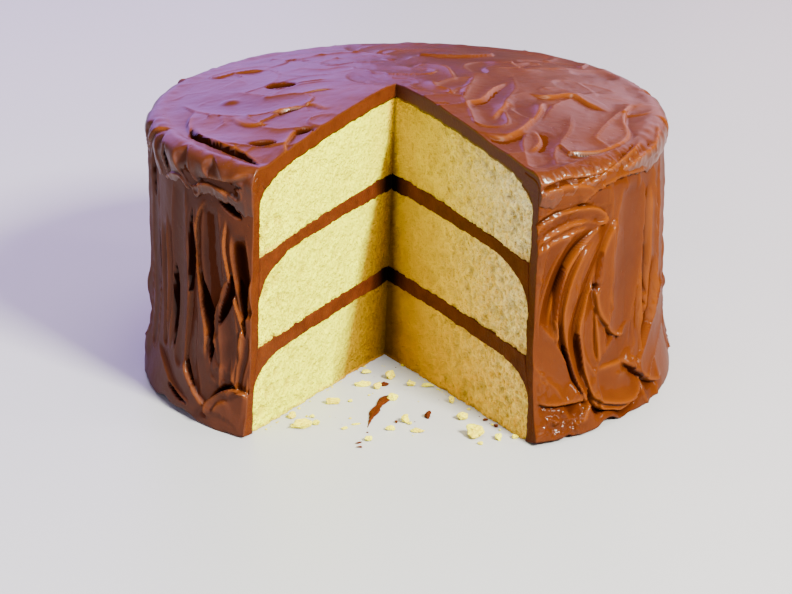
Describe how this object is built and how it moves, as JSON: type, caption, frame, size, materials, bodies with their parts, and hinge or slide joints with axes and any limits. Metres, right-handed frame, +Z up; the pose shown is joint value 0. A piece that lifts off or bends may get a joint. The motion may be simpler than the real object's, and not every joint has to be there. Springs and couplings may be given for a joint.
{
  "type": "layer cake",
  "caption": "Round yellow layer cake with chocolate fillings and swept chocolate frosting, with a wedge cut out to show the layers.",
  "frame": {"origin": "on the surface the cake stands on, under the middle of its box", "axes": "+Z up, the missing wedge opens towards -Y, +X to the right of someone who faces the wedge"},
  "size_m": [0.2394, 0.226, 0.1327],
  "materials": {
    "sponge": "soft open crumb",
    "filling": "cut chocolate frosting, satin",
    "frosting": "swept chocolate frosting, soft gloss"
  },
  "bodies": {
    "root": {"sponge_bottom": "sponge", "sponge_middle": "sponge", "sponge_top": "sponge", "filling_lower": "filling", "filling_upper": "filling", "frosting": "frosting"}
  },
  "joints": []
}
